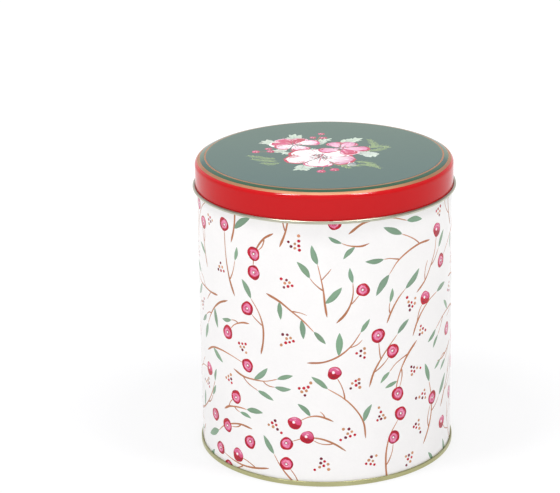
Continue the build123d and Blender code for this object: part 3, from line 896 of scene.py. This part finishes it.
def make_base(metal, lacquer):
    shell = Shell("Tin_Base", THETA)
    b0, b1 = BEAD_R - BEAD_W / 2, BEAD_R + BEAD_W / 2
    bend_r, bend_z = CHUCK_R - PANEL_BEND, PANEL_Z - PANEL_BEND
    low = ("disc", 0.252, 0.745, 0.244 / 66.5)
    strip = lambda v0, v1: ("strip", 0.006, v0, 0.994, v1)
    cover_in, hook_foot = WALL_R + GAP, 2 * SHEET + 3 * GAP
    cover_out, top_z = cover_in + SHEET, SEAM_H - SEAM_TOP
    t0, t1 = cover_in + SEAM_TOP, SEAM_R - SEAM_TOP
    f0, f1 = CHUCK_R + SEAM_CORNER, SEAM_R - SEAM_CORNER
    # underside, out from the axis
    shell.turn(line(0, PANEL_Z, b0, PANEL_Z, 5) + bead(PANEL_Z, b0, b1)[1:] + line(b1, PANEL_Z, bend_r, PANEL_Z)[1:], 0, low)
    shell.turn(arc((bend_r, bend_z), PANEL_BEND, 90, 0, 8) + line(CHUCK_R, bend_z, CHUCK_R, SEAM_CORNER)[1:], 0, strip(0.010, 0.050))
    shell.turn(arc((f0, SEAM_CORNER), SEAM_CORNER, 180, 270, 8) + line(f0, 0, f1, 0)[1:], 0, strip(0.060, 0.090))
    shell.turn(arc((f1, SEAM_CORNER), SEAM_CORNER, 270, 360, 8) + line(SEAM_R, SEAM_CORNER, SEAM_R, top_z, 4)[1:], 0, strip(0.100, 0.160))
    shell.turn(arc((t1, top_z), SEAM_TOP, 0, 90, 8) + line(t1, SEAM_H, t0, SEAM_H)[1:], 0, strip(0.170, 0.200))
    shell.turn(arc((t0, top_z), SEAM_TOP, 90, 180, 6) + line(cover_in, top_z, cover_in, hook_foot)[1:], 0, strip(0.210, 0.240))
    shell.turn(line(cover_in, hook_foot, cover_out, hook_foot), 0, strip(0.245, 0.250))
    shell.turn(line(cover_out, hook_foot, cover_out, top_z) + arc((t0, top_z), SEAM_TOP - SHEET, 180, 90, 3)[1:], 0, strip(0.255, 0.280))
    shell.turn(line(t0, SEAM_H - SHEET, t1, SEAM_H - SHEET), 0, strip(0.285, 0.290))
    shell.turn(arc((t1, top_z), SEAM_TOP - SHEET, 90, 0, 3) + line(SEAM_R - SHEET, top_z, SEAM_R - SHEET, SEAM_CORNER)[1:], 0, strip(0.295, 0.320))
    shell.turn(arc((f1, SEAM_CORNER), SEAM_CORNER - SHEET, 360, 270, 4) + line(f1, SHEET, f0, SHEET)[1:], 0, strip(0.325, 0.350))
    shell.turn(arc((f0, SEAM_CORNER), SEAM_CORNER - SHEET, 270, 180, 4) + line(CHUCK_R + SHEET, SEAM_CORNER, CHUCK_R + SHEET, bend_z)[1:], 0, strip(0.355, 0.390))
    # upper face, back in to the axis
    up = PANEL_Z + SHEET
    shell.turn(arc((bend_r, bend_z), PANEL_BEND + SHEET, 0, 90, 8), 0, strip(0.400, 0.430))
    shell.turn(line(bend_r, up, b1, up) + bead(up, b1, b0)[1:] + line(b0, up, 0, up, 5)[1:], 1, ("disc", 0.748, 0.745, 0.244 / 66.5))
    return shell.build([metal, lacquer])


THIN_GOLD = (59.9, 60.75)
WIDE_GOLD = 62.93


def make_lid(ink, metal, gold, enamel, edge, lacquer):
    shell = Shell("Tin_Lid", THETA)
    I, M, G, E, B, L = 0, 1, 2, 3, 4, 5
    t = SHEET
    strip = lambda v0, v1: ("strip", 0.006, v0, 0.994, v1)
    skirt_in = SKIRT_R - SHEET
    ring = (skirt_in + LID_CURL, TOTAL_H - LID_H + LID_CURL)
    e = math.radians(LID_CURL_END)
    s = math.degrees(SLOPE)
    tip_o = (ring[0] + LID_CURL * math.cos(e), ring[1] + LID_CURL * math.sin(e))
    tip_i = (ring[0] + (LID_CURL - t) * math.cos(e), ring[1] + (LID_CURL - t) * math.sin(e))
    # inside: panel, shoulder, skirt
    shell.turn(line(0, TOTAL_H - t, FLAT_R, TOTAL_H - t, 5), L, ("disc", 0.815, 0.20, 0.176 / 59))
    shell.turn(arc(C1, R1 - t, 90, 90 - s, 8) + arc(C2, R2 - t, 90 - s, 0, 10)[1:], L, strip(0.645, 0.680))
    shell.turn(line(skirt_in, C2[1], skirt_in, ring[1], 3), L, strip(0.685, 0.730))
    # the curl, its cut edge and its inside
    shell.turn(arc(ring, LID_CURL, -180, LID_CURL_END, 32), M, strip(0.735, 0.790))
    shell.turn(line(*tip_o, *tip_i), M, strip(0.793, 0.796))
    shell.turn(arc(ring, LID_CURL - t, LID_CURL_END, -180, 22), M, strip(0.799, 0.820))
    # printed skirt and shoulder
    shell.turn(line(SKIRT_R, ring[1], SKIRT_R, C2[1], 6), E, strip(0.825, 0.930), RED)
    shell.turn(arc(C2, R2, 0, 34, 6), E, strip(0.930, 0.938), RED)
    shell.turn(arc(C2, R2, 34, 90 - s, 9), B, strip(0.940, 0.950), RED)
    at = lambda r: math.degrees(math.acos((r - FLAT_R) / R1))
    shell.turn(arc(C1, R1, 90 - s, at(WIDE_GOLD), 3), G, strip(0.953, 0.960))
    shell.turn(arc(C1, R1, at(WIDE_GOLD), at(THIN_GOLD[1]), 5), I, strip(0.963, 0.975), GREEN)
    shell.turn(arc(C1, R1, at(THIN_GOLD[1]), at(THIN_GOLD[0]), 2), G, strip(0.977, 0.980))
    shell.turn(arc(C1, R1, at(THIN_GOLD[0]), 90, 2), I, strip(0.983, 0.990), GREEN)
    # printed panel
    shapes = lid_print()
    points = [(FLAT_R * math.sin(a), -FLAT_R * math.cos(a)) for a in THETA]
    flat, tri, top = inlay(shapes, points, [(i, (i + 1) % len(THETA)) for i in range(len(THETA))])
    a, b, c = (flat[tri[:, k]] for k in range(3))
    area = (b[:, 0] - a[:, 0]) * (c[:, 1] - a[:, 1]) - (b[:, 1] - a[:, 1]) * (c[:, 0] - a[:, 0])
    tri[area < 0] = tri[area < 0][:, ::-1]
    rim = shell.ring(FLAT_R, TOTAL_H)
    on_rim = np.hypot(*flat.T) > FLAT_R - 1e-3
    angle = np.mod(np.arctan2(flat[:, 0], -flat[:, 1]) - THETA[0] + 1e-7, 2 * np.pi) + THETA[0]
    col = np.abs(THETA[None] - angle[:, None]).argmin(1)
    number = np.where(on_rim, rim[col], -1)
    number[~on_rim] = shell.points(np.column_stack([flat[~on_rim], np.full((~on_rim).sum(), TOTAL_H)]))
    up = np.zeros((len(tri), 3, 3))
    up[..., 2] = 1
    uv = np.array([0.318, 0.318]) + flat[tri] * (0.31 / FLAT_R)
    shell.add(number[tri], I, up, inks(shapes, flat, tri, top, GREEN), uv)
    return shell.build([ink, metal, gold, enamel, edge, lacquer])


# ------------------------------------------------------------------ materials
def nodes_of(name):
    m = bpy.data.materials.new(name)
    m.use_nodes = True
    nt = m.node_tree
    return m, nt, nt.nodes["Principled BSDF"]


def node(nt, kind, inputs=None, **settings):
    n = nt.nodes.new(kind)
    for k, v in settings.items():
        setattr(n, k, v)
    for k, v in (inputs or {}).items():
        n.inputs[k].default_value = v
    return n


def printed(name, peel, rough, ior=1.5, gloss=0.5):
    """Printed and varnished tinplate, its ink read from the mesh."""
    m, nt, p = nodes_of(name)
    ink = node(nt, "ShaderNodeVertexColor", layer_name="ink")
    co = node(nt, "ShaderNodeTexCoord")
    grain = node(nt, "ShaderNodeTexNoise", {"Scale": 900.0, "Detail": 4.0, "Roughness": 0.6})
    cloud = node(nt, "ShaderNodeTexNoise", {"Scale": 90.0, "Detail": 3.0})
    span1 = node(nt, "ShaderNodeMapRange", {"From Min": 0.3, "From Max": 0.7, "To Min": 0.985, "To Max": 1.008})
    span2 = node(nt, "ShaderNodeMapRange", {"From Min": 0.3, "From Max": 0.7, "To Min": 0.988, "To Max": 1.006})
    both = node(nt, "ShaderNodeMath", operation="MULTIPLY")
    tint = node(nt, "ShaderNodeVectorMath", operation="SCALE")
    link = nt.links.new
    link(co.outputs["Object"], grain.inputs["Vector"])
    link(co.outputs["Object"], cloud.inputs["Vector"])
    link(grain.outputs[0], span1.inputs["Value"])
    link(cloud.outputs[0], span2.inputs["Value"])
    link(span1.outputs[0], both.inputs[0])
    link(span2.outputs[0], both.inputs[1])
    link(ink.outputs["Color"], tint.inputs[0])
    link(both.outputs[0], tint.inputs["Scale"])
    link(tint.outputs[0], p.inputs["Base Color"])
    smear = node(nt, "ShaderNodeTexNoise", {"Scale": 35.0, "Detail": 5.0, "Roughness": 0.55})
    wipe = node(nt, "ShaderNodeMapRange", {"From Min": 0.3, "From Max": 0.7, "To Min": rough - 0.02, "To Max": rough + 0.03})
    link(co.outputs["Object"], smear.inputs["Vector"])
    link(smear.outputs[0], wipe.inputs["Value"])
    link(wipe.outputs[0], p.inputs["Roughness"])
    orange = node(nt, "ShaderNodeTexNoise", {"Scale": 420.0, "Detail": 1.0})
    bump = node(nt, "ShaderNodeBump", {"Strength": peel, "Distance": 0.00004})
    link(co.outputs["Object"], orange.inputs["Vector"])
    link(orange.outputs[0], bump.inputs["Height"])
    link(bump.outputs["Normal"], p.inputs["Normal"])
    p.inputs["IOR"].default_value = ior
    p.inputs["Specular IOR Level"].default_value = gloss
    return m


def metal_of(name, dark, light, rough, metallic=1.0):
    """Lacquered tinplate with a faint rolled grain."""
    m, nt, p = nodes_of(name)
    co = node(nt, "ShaderNodeTexCoord")
    cloud = node(nt, "ShaderNodeTexNoise", {"Scale": 60.0, "Detail": 5.0, "Roughness": 0.6})
    ramp = node(nt, "ShaderNodeValToRGB")
    ramp.color_ramp.elements[0].position, ramp.color_ramp.elements[1].position = 0.3, 0.7
    ramp.color_ramp.elements[0].color = (*dark, 1)
    ramp.color_ramp.elements[1].color = (*light, 1)
    link = nt.links.new
    link(co.outputs["Object"], cloud.inputs["Vector"])
    link(cloud.outputs[0], ramp.inputs["Fac"])
    link(ramp.outputs["Color"], p.inputs["Base Color"])
    stretch = node(nt, "ShaderNodeMapping", {"Scale": (1.0, 1.0, 14.0)})
    grain = node(nt, "ShaderNodeTexNoise", {"Scale": 260.0, "Detail": 3.0})
    span = node(nt, "ShaderNodeMapRange", {"From Min": 0.25, "From Max": 0.75, "To Min": rough - 0.05, "To Max": rough + 0.07})
    link(co.outputs["Object"], stretch.inputs["Vector"])
    link(stretch.outputs[0], grain.inputs["Vector"])
    link(grain.outputs[0], span.inputs["Value"])
    link(span.outputs[0], p.inputs["Roughness"])
    p.inputs["Metallic"].default_value = metallic
    return m


wall_ink = printed("wall_print", 0.35, 0.20, 1.5, 0.32)
lid_ink = printed("lid_print", 0.12, 0.10)
lid_enamel = printed("lid_enamel", 0.08, 0.075, 1.34, 0.3)
enamel_edge = printed("enamel_edge", 0.05, 0.06, 1.5, 0.5)
tinplate = metal_of("lacquered_tin", (0.415, 0.405, 0.205), (0.495, 0.485, 0.26), 0.32)
hem_tin = metal_of("hem_tin", (0.46, 0.455, 0.355), (0.55, 0.545, 0.43), 0.30)
inner_lacquer = metal_of("inner_lacquer", (0.80, 0.71, 0.48), (0.90, 0.82, 0.58), 0.36, 0.7)
gold_ink = metal_of("gold_ink", (0.47, 0.22, 0.11), (0.56, 0.28, 0.15), 0.40, 0.6)

wall = make_wall(wall_ink, tinplate, inner_lacquer)
base = make_base(tinplate, inner_lacquer)
lid = make_lid(lid_ink, hem_tin, gold_ink, lid_enamel, enamel_edge, inner_lacquer)
for piece, body, cad, slot in (
    (wall, "tin", "body_wall", "wall_print"),
    (base, "tin", "base_plate", "lacquered_tin"),
    (lid, "lid", "lid", "lid_print"),
):
    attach(piece, body)
    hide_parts(cad)

# ---------------------------------------------------------------- the studio
scene = bpy.context.scene
scene.view_settings.view_transform = "Standard"
scene.view_settings.look = "None"

floor_mesh = bpy.data.meshes.new("Floor")
rim = [(4 * math.cos(a), 4 * math.sin(a), 0) for a in np.linspace(0, 2 * math.pi, 96, endpoint=False)]
floor_mesh.from_pydata(rim, [], [tuple(range(96))])
floor = bpy.data.objects.new("Floor", floor_mesh)
scene.collection.objects.link(floor)
pale, nt, p = nodes_of("floor")
p.inputs["Base Color"].default_value = (0.24, 0.24, 0.24, 1)
p.inputs["Roughness"].default_value = 0.9
p.inputs["Specular IOR Level"].default_value = 0.1
p.inputs["Emission Color"].default_value = (1, 1, 1, 1)
co = node(nt, "ShaderNodeTexCoord")
away = node(nt, "ShaderNodeVectorMath", operation="LENGTH")
# The floor glows as well as taking light: 0.73 within 0.12 m of the tin's axis, rising to 0.90 from 0.42 m out. The
# dimmer glow round the tin is a painted shadow round its foot.
glow_with_painted_shadow = node(nt, "ShaderNodeMapRange", {"From Min": 0.12, "From Max": 0.42, "To Min": 0.73, "To Max": 0.90}, interpolation_type="SMOOTHSTEP")
nt.links.new(co.outputs["Object"], away.inputs[0])
nt.links.new(away.outputs["Value"], glow_with_painted_shadow.inputs["Value"])
nt.links.new(glow_with_painted_shadow.outputs[0], p.inputs["Emission Strength"])
floor_mesh.materials.append(pale)

world = bpy.data.worlds.new("Studio")
scene.world = world
world.use_nodes = True
wt = world.node_tree
sky = wt.nodes["Background"]
co = node(wt, "ShaderNodeTexCoord")
split = node(wt, "ShaderNodeSeparateXYZ")
ramp = node(wt, "ShaderNodeValToRGB")
stops = ramp.color_ramp.elements
stops[0].position, stops[0].color = 0.0, (1.0, 1.0, 1.0, 1)
stops[1].position, stops[1].color = 1.0, (0.26, 0.26, 0.26, 1)
for z, v in (
    (0.260, (0.99, 1.0, 0.95)),
    (0.302, (0.66, 0.66, 0.92)),
    (0.42, (0.66, 0.67, 0.74)),
    (0.70, (0.46, 0.46, 0.48)),
):
    k = stops.new(z)
    k.color = (*v, 1)
wt.links.new(co.outputs["Generated"], split.inputs[0])
wt.links.new(split.outputs["Z"], ramp.inputs["Fac"])
wt.links.new(ramp.outputs["Color"], sky.inputs["Color"])
side = node(wt, "ShaderNodeValToRGB")
stops = side.color_ramp.elements
stops[0].position, stops[0].color = 0.0, (0.50, 0.50, 0.50, 1)
stops[1].position, stops[1].color = 1.0, (0.40, 0.40, 0.40, 1)
for x, v in ((0.25, 0.95), (0.42, 1.0), (0.62, 0.97), (0.82, 0.60)):
    k = stops.new(x)
    k.color = (v, v, v, 1)
centred = node(wt, "ShaderNodeMapRange", {"From Min": -1.0, "From Max": 1.0})
above = node(wt, "ShaderNodeMapRange", {"From Min": 0.09, "From Max": 0.16})
flags = node(wt, "ShaderNodeMix", {"A": 1.0}, data_type="FLOAT")
wt.links.new(split.outputs["X"], centred.inputs["Value"])
wt.links.new(split.outputs["Z"], above.inputs["Value"])
wt.links.new(centred.outputs[0], side.inputs["Fac"])
wt.links.new(above.outputs[0], flags.inputs["Factor"])
wt.links.new(side.outputs["Color"], flags.inputs["B"])
wt.links.new(flags.outputs[0], sky.inputs["Strength"])


def softbox(name, at, aim, size, power):
    data = bpy.data.lights.new(name, "AREA")
    data.shape, data.size, data.size_y, data.energy = "RECTANGLE", size[0], size[1], power
    ob = bpy.data.objects.new(name, data)
    ob.location = at
    ob.rotation_euler = (Vector(aim) - Vector(at)).to_track_quat("-Z", "Y").to_euler()
    scene.collection.objects.link(ob)
    return ob


softbox("Over_L", (-0.42, -0.26, 1.25), (0, 0, 0.15), (0.16, 0.34), 4.6)
softbox("Over_R", (0.42, -0.26, 1.25), (0, 0, 0.15), (0.16, 0.34), 4.6)
softbox("Top", (0, 0.05, 1.30), (0, 0.05, 0.15), (0.9, 0.8), 4.2)
softbox("Front", (-0.35, -2.3, 0.75), (0, 0, 0.08), (1.5, 1.0), 7.8)
# the flat lid would mirror this one whole, straight at a viewer behind the tin
bpy.data.objects["Front"].visible_glossy = False

cam_data = bpy.data.cameras.new("Camera")
cam = bpy.data.objects.new("Camera", cam_data)
scene.collection.objects.link(cam)
scene.camera = cam
cam_data.sensor_width = 36.0
cam_data.lens = 142.93
cam_data.clip_start, cam_data.clip_end = 0.05, 20.0
cam.matrix_world = (
    Matrix.Translation((-0.0230, -1.0810, 0.4730))
    @ Matrix.Rotation(math.radians(90 - 18.793), 4, "X")
    @ Matrix.Rotation(math.radians(-0.93), 4, "Z")
)
